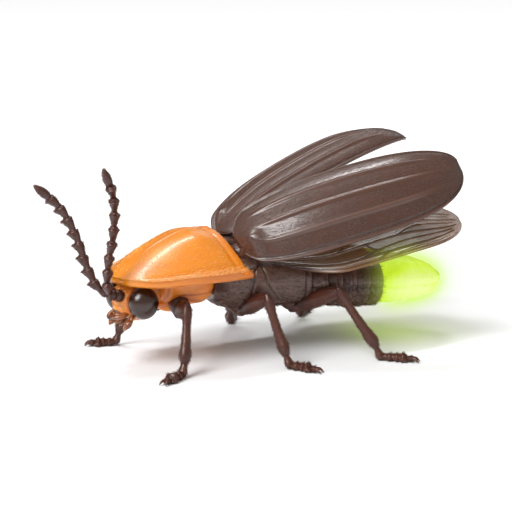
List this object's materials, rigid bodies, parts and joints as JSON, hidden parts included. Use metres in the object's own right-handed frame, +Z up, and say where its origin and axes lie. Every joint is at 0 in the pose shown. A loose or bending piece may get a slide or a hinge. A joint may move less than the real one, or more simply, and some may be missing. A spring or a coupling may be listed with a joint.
{
  "type": "firefly",
  "caption": "Life-size still model of a standing firefly: domed shield over its head, wing cases raised over half-spread hind wings, glowing tail rings.",
  "frame": {"origin": "on the floor under the middle of the whole, with its six feet on z = 0", "axes": "-Y ahead of the animal, +X to its left, +Z up from the floor"},
  "size_m": [0.0133, 0.0231, 0.0111],
  "materials": {
    "shield_orange": "glossy orange cuticle",
    "face_orange": "satin orange-brown cuticle",
    "eye_black": "glossy faceted eye",
    "limb_brown": "satin dark brown cuticle with fine hairs",
    "belly_brown": "satin brown cuticle",
    "case_brown": "glossy dark brown wing case",
    "wing_membrane": "smoky translucent membrane",
    "lantern_glow": "yellow-green light organ"
  },
  "bodies": {
    "root": {"pronotum": "shield_orange", "prothorax": "face_orange", "head": "face_orange", "eye_left": "eye_black", "eye_right": "eye_black", "antenna_left": "limb_brown", "antenna_right": "limb_brown", "thorax": "belly_brown", "scutellum": "belly_brown", "abdomen": "belly_brown", "lantern": "lantern_glow", "abdomen_tip": "lantern_glow", "elytron_left": "case_brown", "elytron_right": "case_brown", "hind_wing_left": "wing_membrane", "hind_wing_right": "wing_membrane", "leg_fore_left": "limb_brown", "leg_fore_right": "limb_brown", "leg_mid_left": "limb_brown", "leg_mid_right": "limb_brown", "leg_hind_left": "limb_brown", "leg_hind_right": "limb_brown"}
  },
  "joints": []
}
